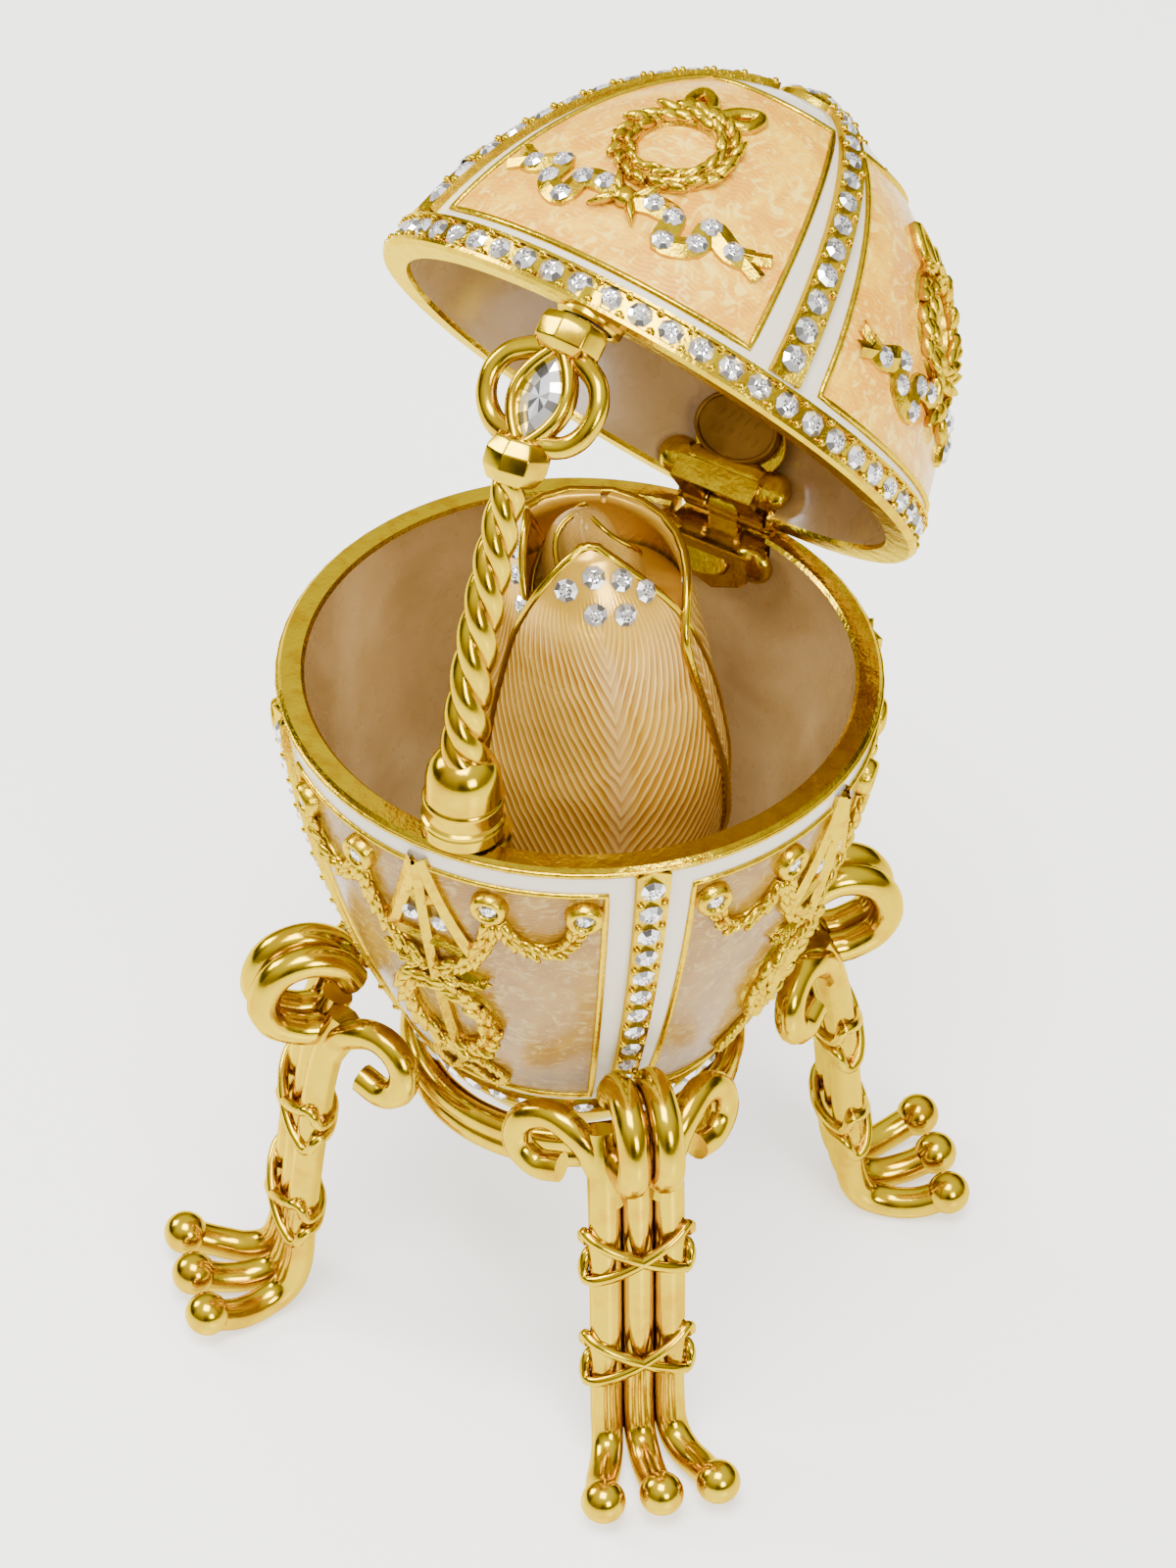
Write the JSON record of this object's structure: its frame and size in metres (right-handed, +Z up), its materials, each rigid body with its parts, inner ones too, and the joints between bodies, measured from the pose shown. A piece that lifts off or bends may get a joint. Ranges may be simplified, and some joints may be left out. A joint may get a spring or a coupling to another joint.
{
  "type": "jewelled egg trinket box",
  "caption": "Enamelled egg-shaped trinket box on a four-legged gilt stand, its hinged lid held open by a loose twisted prop rod, with a rosebud fixed inside.",
  "frame": {"origin": "on the floor under the centre of the bounding box with the lid on its prop, 4.45 mm behind the egg's own axis", "axes": "+Z up; +Y from the clasp at the front to the hinge at the back; +X to the right seen from the front"},
  "size_m": [0.0714, 0.0806, 0.1362],
  "materials": {
    "peach_enamel": "pearly peach enamel panels in white enamel borders over gilt metal, taupe enamel inside",
    "polished_gold": "mirror-polished gold plate",
    "cream_enamel": "translucent cream enamel over gold with a feather pattern",
    "crystal": "clear faceted crystal",
    "black_magnet": "black ferrite magnet",
    "antique_gold": "antique brown-gold plate, satin"
  },
  "bodies": {
    "base": {"base_shell": "peach_enamel", "rosebud": "cream_enamel", "stand_ring": "polished_gold", "leg_front_right": "polished_gold", "leg_back_right": "polished_gold", "leg_back_left": "polished_gold", "leg_front_left": "polished_gold", "prop_rod": "polished_gold", "marquise_crystal": "crystal", "base_hinge_leaf": "polished_gold", "hinge_pin": "polished_gold"},
    "lid": {"lid_shell": "peach_enamel", "lid_magnet": "black_magnet", "lid_hinge_leaf": "polished_gold", "oval_plaque": "antique_gold"}
  },
  "joints": [
    {"name": "lid_hinge", "type": "hinge", "parent": "base", "child": "lid", "pos_m": [0, 0.02475, 0.08176], "axis": [-0.9967, 0.0627, -0.0523], "range_deg": [0, 35]}
  ]
}
